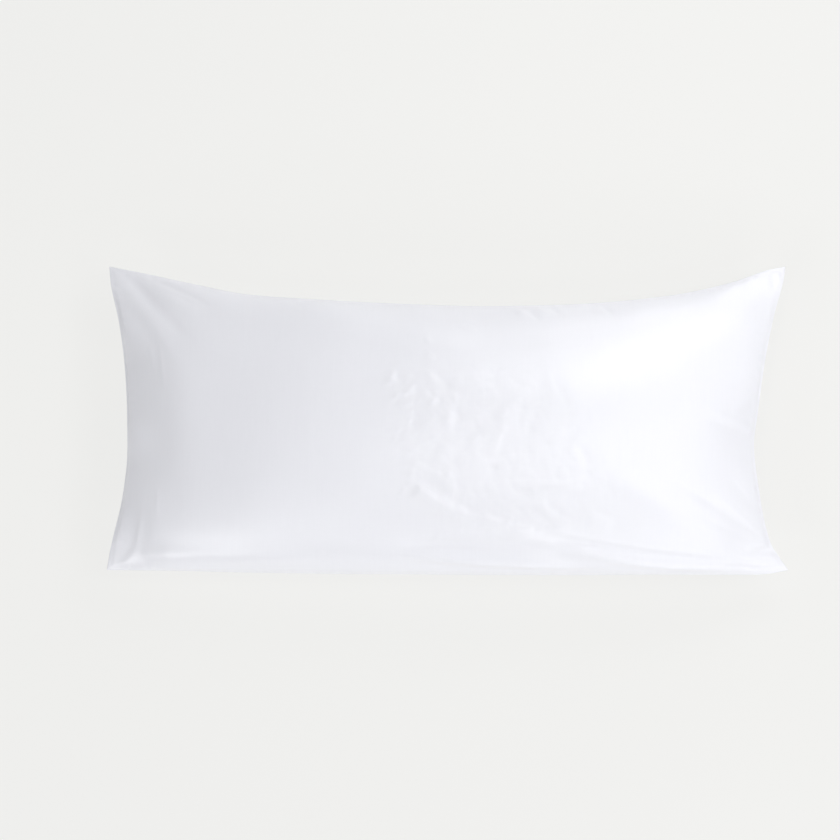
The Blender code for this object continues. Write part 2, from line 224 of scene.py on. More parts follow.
# The short creases of the crumpled middle, each steep on the left of its way and soft on its right.
CREASE_SOFT_SIDE = 2.8
CREASES = (
    # the left and lower rim of the crumpled middle
    Fold(start=(-0.084, 0.050), end=(-0.058, -0.004), bow=0.002, width=0.0060, rise=0.0005),
    Fold(start=(-0.045, -0.116), end=(0.033, -0.157), bow=-0.002, width=0.0070, rise=0.0017),
    Fold(start=(0.033, -0.157), end=(0.118, -0.177), bow=-0.002, width=0.0070, rise=0.0013),
    Fold(start=(-0.042, -0.116), end=(-0.020, -0.130), bow=0.000, width=0.0045, rise=0.0011),
    Fold(start=(-0.010, -0.132), end=(0.006, -0.141), bow=0.000, width=0.0050, rise=0.0009),
    Fold(start=(0.014, -0.142), end=(0.026, -0.150), bow=0.000, width=0.0042, rise=0.0010),
    Fold(start=(0.050, -0.155), end=(0.072, -0.166), bow=0.000, width=0.0048, rise=0.0010),
    Fold(start=(0.080, -0.165), end=(0.112, -0.175), bow=-0.001, width=0.0046, rise=0.0010),
    # at the top of its left rim
    Fold(start=(-0.082, 0.048), end=(-0.078, 0.036), bow=0.000, width=0.0032, rise=0.0010),
    Fold(start=(-0.076, 0.026), end=(-0.071, 0.014), bow=0.000, width=0.0032, rise=0.0006),
    Fold(start=(-0.069, 0.010), end=(-0.060, -0.001), bow=0.000, width=0.0032, rise=0.0007),
    Fold(start=(-0.088, 0.036), end=(-0.085, 0.028), bow=0.000, width=0.0032, rise=0.0007),
    Fold(start=(-0.080, 0.057), end=(-0.077, 0.049), bow=0.000, width=0.0030, rise=0.0006),
    # inside it and along its foot
    Fold(start=(-0.056, 0.049), end=(-0.053, 0.039), bow=0.000, width=0.0040, rise=0.0009),
    Fold(start=(-0.052, 0.033), end=(-0.051, 0.023), bow=0.000, width=0.0034, rise=0.0009),
    Fold(start=(-0.034, 0.054), end=(-0.014, 0.035), bow=0.001, width=0.0040, rise=0.00103),
    Fold(start=(0.014, 0.047), end=(0.019, 0.028), bow=0.000, width=0.0040, rise=0.00049),
    Fold(start=(-0.033, 0.021), end=(-0.018, 0.004), bow=0.000, width=0.0040, rise=0.0010),
    Fold(start=(-0.011, 0.017), end=(-0.014, -0.001), bow=0.000, width=0.0031, rise=-0.00058),
    Fold(start=(-0.016, -0.003), end=(0.008, -0.024), bow=-0.001, width=0.0041, rise=0.00077),
    Fold(start=(-0.001, -0.006), end=(0.011, -0.015), bow=0.000, width=0.0031, rise=0.00058),
    Fold(start=(0.047, 0.033), end=(0.049, -0.001), bow=0.002, width=0.0044, rise=0.00037),
    Fold(start=(0.064, -0.001), end=(0.067, -0.024), bow=0.000, width=0.0052, rise=-0.00061),
    Fold(start=(0.078, -0.009), end=(0.080, -0.038), bow=0.000, width=0.0031, rise=0.00061),
    Fold(start=(0.074, -0.038), end=(0.062, -0.068), bow=0.002, width=0.0050, rise=0.0011),
    Fold(start=(0.101, -0.009), end=(0.104, -0.038), bow=0.000, width=0.0047, rise=-0.00061),
    Fold(start=(0.111, 0.017), end=(0.111, 0.002), bow=0.000, width=0.0032, rise=0.00037),
    Fold(start=(0.115, 0.044), end=(0.127, 0.028), bow=0.000, width=0.0034, rise=0.00037),
    Fold(start=(0.145, 0.051), end=(0.164, 0.005), bow=-0.002, width=0.0037, rise=0.00061),
    Fold(start=(0.164, 0.005), end=(0.170, -0.027), bow=0.000, width=0.0036, rise=0.00049),
    Fold(start=(0.055, -0.037), end=(0.052, -0.050), bow=0.000, width=0.0032, rise=0.00049),
    Fold(start=(0.088, -0.109), end=(0.166, -0.107), bow=0.000, width=0.0026, rise=0.0009),
    Fold(start=(0.118, -0.109), end=(0.125, -0.120), bow=0.000, width=0.0026, rise=0.00037),
    Fold(start=(0.140, -0.057), end=(0.146, -0.093), bow=0.000, width=0.0026, rise=0.00037),
    Fold(start=(-0.042, -0.113), end=(-0.028, -0.123), bow=0.000, width=0.0040, rise=0.00143),
    Fold(start=(-0.028, -0.123), end=(-0.014, -0.136), bow=0.000, width=0.0041, rise=0.00143),
    Fold(start=(-0.001, -0.093), end=(0.008, -0.113), bow=0.000, width=0.0034, rise=0.00061),
    Fold(start=(0.008, -0.113), end=(0.002, -0.138), bow=0.000, width=0.0043, rise=0.00090),
    Fold(start=(-0.048, -0.081), end=(-0.006, -0.105), bow=0.000, width=0.0036, rise=0.00066),
    Fold(start=(-0.011, -0.138), end=(0.032, -0.157), bow=-0.002, width=0.0046, rise=0.00090),
    Fold(start=(0.055, -0.157), end=(0.077, -0.166), bow=0.000, width=0.0043, rise=0.00090),
    Fold(start=(0.097, -0.169), end=(0.120, -0.174), bow=0.000, width=0.0038, rise=0.00106),
    Fold(start=(0.133, -0.135), end=(0.147, -0.154), bow=-0.001, width=0.0046, rise=0.0013),
    Fold(start=(0.147, -0.154), end=(0.174, -0.169), bow=0.000, width=0.0052, rise=0.00126),
    Fold(start=(0.128, -0.147), end=(0.150, -0.168), bow=0.000, width=0.0039, rise=-0.00106),
    Fold(start=(0.207, -0.154), end=(0.233, -0.164), bow=0.000, width=0.0052, rise=0.0014),
    Fold(start=(0.221, -0.074), end=(0.224, -0.096), bow=0.000, width=0.0034, rise=-0.00049),
    Fold(start=(0.239, -0.105), end=(0.251, -0.115), bow=0.000, width=0.0034, rise=0.00049),
    Fold(start=(-0.019, -0.180), end=(-0.010, -0.183), bow=0.000, width=0.0034, rise=0.00054),
    Fold(start=(-0.028, 0.082), end=(-0.019, 0.073), bow=0.000, width=0.0034, rise=0.00079),
    # the long faint line left of the middle
    Fold(start=(-0.197, 0.087), end=(-0.197, -0.076), bow=0.000, width=0.0022, rise=0.00018),
)
# A fold fades in and out round its two ends, over this share of its length to each side of them.
FOLD_RUN_OUT = 0.25
# Folds and creases fade out towards the seam over this far.
SEAM_FADE = 0.012

# Between the named creases the middle is crumpled all over, inside a leaning oval. It is full up to
# one share of the oval's size, and fades out over the next.
CRUMPLE_MIDDLE = (0.075, -0.045)
CRUMPLE_LENGTH = 0.185
CRUMPLE_WIDTH = 0.115
CRUMPLE_LEAN = math.radians(-24)
CRUMPLE_FULL = 0.6
CRUMPLE_FADE = 0.55
CRUMPLE_COUNT = 280
CRUMPLE_SEED = 7
# Its strokes: their lean in degrees at the middle of the oval, how much steeper they are at its right
# end, how much flatter at its foot, and how unevenly they lean. A range is the least and the most.
STROKE_LEAN = -62
STROKE_LEAN_AT_RIGHT = 22
STROKE_LEAN_AT_FOOT = 26
STROKE_LEAN_SPREAD = 15
STROKE_SHORTEST = 0.010
STROKE_LENGTH_SPREAD = 0.028
STROKE_BOW_SPREAD = 0.0015
STROKE_WIDTHS = (0.0028, 0.0060)
STROKE_RISES = (0.00018, 0.00062)
# Two in three of them are ridges and one is a trough.
STROKE_SIGNS = (-1, 1, 1)

# Short flecks of crease lie along its left and lower fringe, most of them near the line through these
# places. Their leans are in degrees.
FRINGE = (
    (-0.072, 0.052),
    (-0.062, 0.000),
    (-0.058, -0.050),
    (-0.042, -0.105),
    (0.020, -0.148),
    (0.120, -0.176),
)
FRINGE_SPREAD = 0.013
FLECK_COUNT = 130
FLECK_SEED = 11
FLECK_LEANS = (-80, -30)
FLECK_LENGTHS = (0.003, 0.009)
FLECK_WIDTHS = (0.0026, 0.0036)
FLECK_RISES = (0.00015, 0.00055)

# Slow unevenness of the filling under the cloth: a row for each band of waves.
Band = namedtuple("Band", "longest shortest rise count seed")
UNEVENNESS = (
    Band(longest=0.240, shortest=0.110, rise=0.0005, count=14, seed=21),
    Band(longest=0.090, shortest=0.045, rise=0.00012, count=22, seed=22),
)

# The turned edge stands as a thin ridge, with a dip beside it before the cloth climbs the filling.
# These are measured along the cloth from the seam.
RIM_PLACE = 0.0055
RIM_WIDTH = 0.0030
RIM_DEPTH = 0.0004
# The cloth puckers a little against the seam: a row for each set of waves. They reach this far in,
# and die out where a place is about as far from a short edge as from a long one.
Pucker = namedtuple("Pucker", "pitch start rise")
PUCKERS = (
    Pucker(pitch=0.0190, start=0.00, rise=0.00016),
    Pucker(pitch=0.0139, start=0.31, rise=0.00012),
    Pucker(pitch=0.0331, start=0.62, rise=0.00014),
)
PUCKER_REACH = 0.026
PUCKER_EAR = 0.030

# The filling presses the cloth out between its seams; a move is eased off towards the cap. Shrunk by
# less than nothing, the crumpled middle gets some slack.
CLOTH_PRESSURE = 4.0
CLOTH_SHRINK = -0.03
CLOTH_QUALITY = 6
CLOTH_TENSION = 20
CLOTH_COMPRESSION = 15
CLOTH_SHEAR = 5
CLOTH_BENDING = 0.1
CLOTH_AIR_DAMPING = 1
CLOTH_FRAMES = 20
CLOTH_MOVE_CAP = 0.0045
# Points lower than this rest on the surface, and a slack below this share isn't worth a weight.
RESTING_HEIGHT = 1e-6
LEAST_SLACK = 0.01
# In the flat ears the moves are calmed by a share, in full up to one distance from the tip and less
# and less up to another.
Calm = namedtuple("Calm", "tip full reach share")
CALM_EARS = (
    Calm(tip=(0, 0), full=0.12, reach=0.30, share=1.0),
    Calm(tip=(0, 1), full=0.00, reach=0.16, share=0.8),
    Calm(tip=(1, 0), full=0.00, reach=0.16, share=0.8),
    Calm(tip=(1, 1), full=0.00, reach=0.16, share=0.8),
)

# ---------------------------------------------------------------- colours and light

SATIN_WHITE = (0.908, 0.914, 0.965)
SATIN_SHADE = (0.882, 0.887, 0.940)
# Where the slubs are thin the white turns to the shade; the higher this is, the less of it does.
SHADE_REACH = 1.6
SATIN_ROUGHNESS = 0.34
ROUGHNESS_SPREAD = 0.04
SATIN_SPECULAR = 0.8
SATIN_SHEEN = 0.08
SHEEN_ROUGHNESS = 0.4
THREAD_PITCH = 0.0006
# At a scale of 1 the lines of thread turn through this many radians in each metre.
THREAD_TURN = 20
# Slubs are thicker stretches of thread, and clouds are the slow changes of the gloss.
SLUB_WIDTH = 0.0016
SLUB_LENGTH = 0.045
SLUB_DETAIL = 2.0
CLOUD_SIZE = 0.16
CLOUD_DETAIL = 3.0
NOISE_ROUGHNESS = 0.5
# What the warp's slubs, the weft's slubs and the crossed threads add to the relief.
WARP_SHARE = 0.6
WEFT_SHARE = 0.4
WEAVE_SHARE = 0.35
WEAVE_STRENGTH = 0.35
WEAVE_DEPTH = 0.00025
# The floor is a lit backdrop: it glows evenly and takes only a faint shadow.
FLOOR_COLOUR = (0.150, 0.150, 0.148)
FLOOR_ROUGHNESS = 0.9
FLOOR_GLOW = (0.871, 0.871, 0.855)
FLOOR_GLOW_STRENGTH = 0.840
WORLD_STRENGTH = 0.285

# The studio's soft lights all aim at the case. Tilt is from straight overhead, and heading runs
# from +X (0) round by +Y (90), both in degrees. Power is in watts.
Softbox = namedtuple("Softbox", "name distance tilt heading width length power")
SOFTBOXES = (
    Softbox(name="overhead", distance=6.0, tilt=0, heading=0, width=3.0, length=3.0, power=31.0),
    Softbox(name="right_high", distance=6.0, tilt=30, heading=0, width=2.6, length=4.0, power=47.7),
    Softbox(name="right_strip", distance=6.0, tilt=35, heading=0, width=1.2, length=2.0, power=10.0),
    Softbox(name="right", distance=6.0, tilt=45, heading=0, width=2.6, length=4.0, power=6.9),
    Softbox(name="lower_right", distance=6.0, tilt=50, heading=330, width=1.0, length=1.0, power=24.0),
    Softbox(name="lower_right_low", distance=6.0, tilt=65, heading=285, width=2.0, length=0.5, power=30.9),
    Softbox(name="lower_left", distance=6.0, tilt=60, heading=235, width=2.5, length=1.2, power=62.6),
    Softbox(name="lower_left_high", distance=6.0, tilt=35, heading=235, width=2.5, length=2.0, power=24.7),
    Softbox(name="upper", distance=6.0, tilt=45, heading=90, width=5.0, length=2.0, power=14.5),
    Softbox(name="upper_right_low", distance=6.0, tilt=75, heading=75, width=2.0, length=1.5, power=47.5),
    Softbox(name="near_upper", distance=1.47, tilt=47, heading=56, width=0.8, length=0.6, power=4.6),
    Softbox(name="near_lower_right", distance=1.63, tilt=61, heading=309, width=0.8, length=0.8, power=2.6),
)
# The place that they aim at.
AIM = (0.0, 0.0, 0.1)
# Half the floor's side, and how far it lies below the case so that the two don't touch.
FLOOR_REACH = 30.0
FLOOR_GAP = 0.0004

# The camera's elevation is in degrees. Its picture is this wide at the distance of the case.
CAMERA_ELEVATION = 83.0
CAMERA_DISTANCE = 7.0
CAMERA_AT = (-0.0401, -0.8518, 6.9934)
FRAME_WIDTH = 1.2247
SENSOR_WIDTH = 36.0

# ---------------------------------------------------------------- the shape


def ease(value):
    """0 below 0, 1 above 1, and a smooth rise between."""
    value = np.clip(value, 0.0, 1.0)
    return value * value * (3 - 2 * value)


def through_rows(shares, values, share):
    """Values at shares, on a smooth curve through rows of values at their own shares."""

    def as_rows(numbers):
        return numbers.reshape(numbers.shape + (1,) * (values.ndim - 1))

    last = len(shares) - 1
    before = np.maximum(np.arange(last + 1) - 1, 0)
    after = np.minimum(np.arange(last + 1) + 1, last)
    slopes = (values[after] - values[before]) / as_rows(shares[after] - shares[before])
    k = np.clip(np.searchsorted(shares, share, side="left") - 1, 0, last - 1)
    run = as_rows(shares[k + 1] - shares[k])
    t = as_rows(share - shares[k]) / run
    return (
        values[k] * (2 * t**3 - 3 * t**2 + 1)
        + values[k + 1] * (3 * t**2 - 2 * t**3)
        + slopes[k] * run * (t**3 - 2 * t**2 + t)
        + slopes[k + 1] * run * (t**3 - t**2)
    )


def read_edge(table, share):
    """The inset at shares along an edge."""
    shares = np.array([row.share for row in table])
    insets = np.array([row.inset for row in table])
    return through_rows(shares, insets, share)


def plan(u, v):
    """Where points lie in plan, filled in between the four drawn edges."""
    lower = -TIP_SPAN_Y / 2 + read_edge(LOWER_EDGE, u)
    upper = TIP_SPAN_Y / 2 - read_edge(UPPER_EDGE, u)
    left = -TIP_SPAN_X / 2 + read_edge(LEFT_EDGE, v)
    right = TIP_SPAN_X / 2 - read_edge(RIGHT_EDGE, v)
    return left + (right - left) * u, lower + (upper - lower) * v


def inside_seam(u, v):
    """Distance in from the nearest edge, and from the nearest ear tip, near enough."""
    x = np.minimum(u, 1 - u) * TIP_SPAN_X
    y = np.minimum(v, 1 - v) * TIP_SPAN_Y
    return np.minimum(x, y), np.hypot(x, y)


def seam_height(u, v):
    """Height of the seam at the edges, carried smoothly across the panel."""
    along = 1 - (2 * u - 1) ** SEAM_CLIMB_POWER
    across = 1 - (2 * v - 1) ** SEAM_CLIMB_POWER
    from_ear = along + across - along * across
    wave = sum(
        row.rise * np.sin(2 * math.pi * (row.count * (u + v) + row.start)) for row in SEAM_WAVES
    )
    wave = wave * from_ear * (1 - ease(inside_seam(u, v)[0] / WAVE_FADE))
    return EAR_HEIGHT + (SEAM_HEIGHT - EAR_HEIGHT) * from_ear + wave


def filling(u, v, upper_roundness, lower_roundness):
    """How much of the filling's full height stands at a point: 0 on the seam, 1 at the crown."""
    t = 2 * u - 1
    along = np.clip(1 - np.abs(t) ** LENGTH_POWER, 0, 1) ** LENGTH_ROUNDNESS
    t = 2 * v - 1
    t = t + CROWN_SLIP * (1 - t * t)
    roundness = lower_roundness + (upper_roundness - lower_roundness) * v
    across = np.clip(1 - np.abs(t) ** WIDTH_POWER, 0, 1) ** roundness
    from_tip = inside_seam(u, v)[1]
    return along * across * (EAR_FILLING + (1 - EAR_FILLING) * ease(from_tip / EAR_REACH))


def layer(u, v):
    """Half the thickness of the flat cloth just inside the seam, rounded over its edge."""
    inside = np.clip(inside_seam(u, v)[0] / LAYER_FADE, 0, 1)
    return CLOTH_LAYER * np.sqrt(1 - (1 - inside) ** 2)


def crown(u, v):
    """Height of the front above its seam."""
    return (THICKNESS - SEAM_HEIGHT) * filling(u, v, UPPER_ROUNDNESS, LOWER_ROUNDNESS)


def belly(u, v):
    """How far the back would sink below its seam."""
    return (SEAM_HEIGHT + BACK_SINK) * filling(u, v, BACK_ROUNDNESS, BACK_ROUNDNESS)


def front_surface(u, v):
    """The front, from its seam up over the filling."""
    x, y = plan(u, v)
    return np.stack((x, y, seam_height(u, v) + layer(u, v) + crown(u, v)), axis=-1)


def back_surface(u, v):
    """The back, pressed flat where it lies."""
    x, y = plan(u, v)
    free = seam_height(u, v) - layer(u, v) - belly(u, v)
    return np.stack((x, y, np.maximum(free, 0.0)), axis=-1)


def flange(u):
    """1 at the short edges and 0 beyond the nearly flat strip beside them."""
    return np.exp(-((np.minimum(u, 1 - u) * TIP_SPAN_X / FLANGE) ** 2))


def even_shares(count, profile, crowding):
    """Shares that step evenly along a profile's own length, and closer beside its ends."""
    fine = np.linspace(0.0, 1.0, PROFILE_POINTS)
    steps = np.linalg.norm(np.diff(profile(fine), axis=0), axis=1)
    length = np.cumsum(steps)
    from_end = np.minimum(length, length[-1] - length)
    weights = steps * (1 + crowding * np.exp(-((from_end / CROWDED_REACH) ** 2)))
    weighted = np.concatenate(([0.0], np.cumsum(weights)))
    return np.interp(np.linspace(0.0, weighted[-1], count + 1), weighted, fine)


def grid_shares(along, across, crowding):
    """The panel's cell lines: even along the middle of its length and of its width."""
    us = even_shares(along, lambda s: front_surface(s, np.full_like(s, 0.5)), crowding)
    vs = even_shares(across, lambda s: front_surface(np.full_like(s, 0.5), s), crowding)
    return us, vs


# ---------------------------------------------------------------- folds, creases and puckers


class Panel:
    """One side of the case, with places measured in plan and along the cloth itself."""

    def __init__(self, points, u, v):
        self.points = points
        self.x, self.y = points[..., 0], points[..., 1]
        self.inside = inside_seam(u, v)[0]
        self.along = self.run(axis=0)
        self.across = self.run(axis=1)
        self.to_short_edge = self.to_end(self.along, axis=0)
        self.to_long_edge = self.to_end(self.across, axis=1)
        self.to_seam = np.minimum(self.to_short_edge, self.to_long_edge)

    def run(self, axis):
        """Length along the cloth from the panel's middle, down one set of its lines."""
        steps = np.linalg.norm(np.diff(self.points, axis=axis), axis=-1)
        start = np.zeros_like(np.take(steps, [0], axis=axis))
        run = np.cumsum(np.concatenate((start, steps), axis=axis), axis=axis)
        return run - np.take(run, [run.shape[axis] // 2], axis=axis)

    @staticmethod
    def to_end(run, axis):
        """Length along the cloth to the nearer end of each line."""
        return np.minimum(run - np.take(run, [0], axis=axis), np.take(run, [-1], axis=axis) - run)

    def on_cloth(self, place):
        """Where a place in plan lies along the cloth."""
        nearest = np.argmin((self.x - place[0]) ** 2 + (self.y - place[1]) ** 2)
        return self.along.flat[nearest], self.across.flat[nearest]

    def normals(self):
        """Unit normals, which point out of the front and into the back."""
        cross = np.cross(np.gradient(self.points, axis=0), np.gradient(self.points, axis=1))
        return cross / np.maximum(np.linalg.norm(cross, axis=-1, keepdims=True), LEAST_LENGTH)


def fold_rise(panel, start, end, bow, width, rise, soft_side=1.0):
    """What one fold adds over a panel, from start to end on the cloth. To the right of its way it
    spreads over its width times soft_side."""
    (x0, y0), (x1, y1) = start, end
    length = math.hypot(x1 - x0, y1 - y0)
    ux, uy = (x1 - x0) / length, (y1 - y0) / length
    along = ((panel.along - x0) * ux + (panel.across - y0) * uy) / length
    aside = (panel.across - y0) * ux - (panel.along - x0) * uy - bow * 4 * along * (1 - along)
    begins = ease((along + FOLD_RUN_OUT) / (2 * FOLD_RUN_OUT))
    ends = ease((1 + FOLD_RUN_OUT - along) / (2 * FOLD_RUN_OUT))
    reach = np.where(aside > 0, width, width * soft_side)
    return rise * begins * ends * np.exp(-((aside / reach) ** 2))


def folded(panel, table, soft_side=1.0):
    """The rise of all the folds in a table."""
    total = np.zeros_like(panel.x)
    for row in table:
        start, end = panel.on_cloth(row.start), panel.on_cloth(row.end)
        total += fold_rise(panel, start, end, row.bow, row.width, row.rise, soft_side)
    return total


def crumple_oval(panel):
    """1 in the middle of the crumpled oval, 0 outside it."""
    x, y = panel.x - CRUMPLE_MIDDLE[0], panel.y - CRUMPLE_MIDDLE[1]
    lengthways = (x * math.cos(CRUMPLE_LEAN) + y * math.sin(CRUMPLE_LEAN)) / CRUMPLE_LENGTH
    sideways = (y * math.cos(CRUMPLE_LEAN) - x * math.sin(CRUMPLE_LEAN)) / CRUMPLE_WIDTH
    return 1 - ease((np.hypot(lengthways, sideways) - CRUMPLE_FULL) / CRUMPLE_FADE)


def crumpled(panel):
    """Small creases strewn over the oval: steep strokes, and flatter ones towards its foot."""
    chance = np.random.default_rng(CRUMPLE_SEED)
    total = np.zeros_like(panel.x)
    for _ in range(CRUMPLE_COUNT):
        far, turn = math.sqrt(chance.uniform(0, 1)), chance.uniform(0, 2 * math.pi)
        lengthways = CRUMPLE_LENGTH * far * math.cos(turn)
        sideways = CRUMPLE_WIDTH * far * math.sin(turn)
        x = CRUMPLE_MIDDLE[0] + lengthways * math.cos(CRUMPLE_LEAN) - sideways * math.sin(CRUMPLE_LEAN)
        y = CRUMPLE_MIDDLE[1] + lengthways * math.sin(CRUMPLE_LEAN) + sideways * math.cos(CRUMPLE_LEAN)
        lean = STROKE_LEAN - STROKE_LEAN_AT_RIGHT * lengthways / CRUMPLE_LENGTH
        lean = lean + STROKE_LEAN_AT_FOOT * max(-sideways / CRUMPLE_WIDTH, 0)
        lean = math.radians(lean + chance.normal(0, STROKE_LEAN_SPREAD))
        length = STROKE_SHORTEST + STROKE_LENGTH_SPREAD * chance.uniform(0, 1) ** 2
        width = chance.uniform(*STROKE_WIDTHS)
        rise = chance.choice(STROKE_SIGNS) * chance.uniform(*STROKE_RISES)
        bow = chance.normal(0, STROKE_BOW_SPREAD)
        start = panel.on_cloth((x, y))
        end = (start[0] + length * math.cos(lean), start[1] + length * math.sin(lean))
        total += fold_rise(panel, start, end, bow, width, rise, CREASE_SOFT_SIDE)
    return total * crumple_oval(panel)


def flecked(panel):
    """Flecks of crease strewn along the fringe."""
    chance = np.random.default_rng(FLECK_SEED)
    places = np.array(FRINGE)
    total = np.zeros_like(panel.x)
    for _ in range(FLECK_COUNT):
        part = chance.uniform(0, len(places) - 1)
        place = through_rows(np.arange(len(places)), places, np.array([part]))[0]
        start = panel.on_cloth(place + chance.normal(0, FRINGE_SPREAD, 2))
        lean = math.radians(chance.uniform(*FLECK_LEANS))
        length = chance.uniform(*FLECK_LENGTHS)
        end = (start[0] + length * math.cos(lean), start[1] + length * math.sin(lean))
        width = chance.uniform(*FLECK_WIDTHS)
        rise = chance.uniform(*FLECK_RISES)
        total += fold_rise(panel, start, end, 0.0, width, rise, CREASE_SOFT_SIDE)
    return total


def unevenness(panel):
    """Slow waves in every direction."""
    total = np.zeros_like(panel.x)
    for band in UNEVENNESS:
        chance = np.random.default_rng(band.seed)
        for _ in range(band.count):
            wavelength = chance.uniform(band.shortest, band.longest)
            heading, start = chance.uniform(0, 2 * math.pi, 2)
            run = panel.along * math.cos(heading) + panel.across * math.sin(heading)
            total += band.rise / math.sqrt(band.count) * np.sin(2 * math.pi * run / wavelength + start)
    return total


def seam_puckers(panel):
    """Small uneven waves that run out from the seam, each with its crest square to it."""
    by_long_edge = panel.to_long_edge < panel.to_short_edge
    place = np.where(by_long_edge, panel.along, panel.across)
    wave = np.zeros_like(place)
    for row in PUCKERS:
        wave += row.rise * np.sin(2 * math.pi * (place / row.pitch + row.start))
    clear_of_ear = ease(np.abs(panel.to_long_edge - panel.to_short_edge) / PUCKER_EAR)
    reach = ease(panel.to_seam / RIM_PLACE) * (1 - ease(panel.to_seam / PUCKER_REACH))
    return wave * reach * clear_of_ear


def rim(panel):
    """The dip that sets off the turned edge as a thin ridge."""
    return -RIM_DEPTH * np.exp(-(((panel.to_seam - RIM_PLACE) / RIM_WIDTH) ** 2))


def moved_out(panel, rise):
    """The panel's points moved along its normals."""
    return panel.points + panel.normals() * rise[..., None]


def dressed_front(panel):
    """The front with the cloth's own folds."""
    rise = folded(panel, EAR_FOLDS) + folded(panel, SIDE_FOLDS)
    rise += folded(panel, CREASES, CREASE_SOFT_SIDE)
    rise += crumpled(panel) + flecked(panel) + unevenness(panel)
    rise *= ease(panel.inside / SEAM_FADE)
    return moved_out(panel, rise + seam_puckers(panel) + rim(panel))


def dressed_back(panel):
    """The back with its folds, which die out where it lies flat."""
    free = ease(panel.points[..., 2] / BACK_FREE_HEIGHT)
    rise = ease(panel.inside / SEAM_FADE) * (folded(panel, BACK_FOLDS) + unevenness(panel))
    points = moved_out(panel, -free * (rise + seam_puckers(panel) + rim(panel)))
    points[..., 2] = np.maximum(points[..., 2], 0.0)
    return points


# ---------------------------------------------------------------- the mesh


def case_faces(along, across):
    """Faces of both panels. The back's cells are twice the size. Its outermost ones also take in the
    front's points between their own, so the two panels share one seam."""
    front_id = np.arange((along + 1) * (across + 1)).reshape(along + 1, across + 1)
    faces = []
    for i in range(along):
        for j in range(across):
            ring = (front_id[i, j], front_id[i + 1, j], front_id[i + 1, j + 1], front_id[i, j + 1])
            faces.append([int(k) for k in ring])
    half_along, half_across = along // 2, across // 2
    back_id = front_id[::2, ::2].copy()
    inner = np.arange((half_along - 1) * (half_across - 1)).reshape(half_along - 1, half_across - 1)
    back_id[1:-1, 1:-1] = front_id.size + inner
    for i in range(half_along):
        for j in range(half_across):
            ring = [back_id[i, j]]
            if i == 0:
                ring.append(front_id[0, 2 * j + 1])
            ring.append(back_id[i, j + 1])
            if j == half_across - 1:
                ring.append(front_id[2 * i + 1, across])
            ring.append(back_id[i + 1, j + 1])
            if i == half_along - 1:
                ring.append(front_id[along, 2 * j + 1])
            ring.append(back_id[i + 1, j])
            if j == 0:
                ring.append(front_id[2 * i + 1, 0])
            faces.append([int(k) for k in ring])
    return faces


def case_mesh(name, front, back):
    """The closed mesh of a front and of a back with half as many cells each way."""
    points = np.concatenate((front.reshape(-1, 3), back[1:-1, 1:-1].reshape(-1, 3)))
    mesh = bpy.data.meshes.new(name)
    mesh.from_pydata(points.tolist(), [], case_faces(front.shape[0] - 1, front.shape[1] - 1))
    return mesh


def put_in_scene(name, mesh):
    """An object of this mesh, linked to the scene."""
    thing = bpy.data.objects.new(name, mesh)
    bpy.context.scene.collection.objects.link(thing)
    return thing


def read_points(mesh):
    """The mesh's points as rows of x, y and z."""
    points = np.empty(len(mesh.vertices) * 3)
    mesh.vertices.foreach_get("co", points)
    return points.reshape(-1, 3)


def resampled(grid, shares, new_shares):
    """A grid read at new shares along its two sides."""
    grid = through_rows(shares[0], grid, new_shares[0])
    return through_rows(shares[1], grid.swapaxes(0, 1), new_shares[1]).swapaxes(0, 1)


def capped(moves, u, v):
    """Moves with their length eased off towards the cap, and calmed in the ears."""
    lengths = np.linalg.norm(moves, axis=-1, keepdims=True)
    kept = np.ones_like(u)
    for row in CALM_EARS:
        from_tip = np.hypot((u - row.tip[0]) * TIP_SPAN_X, (v - row.tip[1]) * TIP_SPAN_Y)
        kept *= 1 - row.share * (1 - ease((from_tip - row.full) / (row.reach - row.full)))
    return moves / (1 + lengths / CLOTH_MOVE_CAP) * kept[..., None]


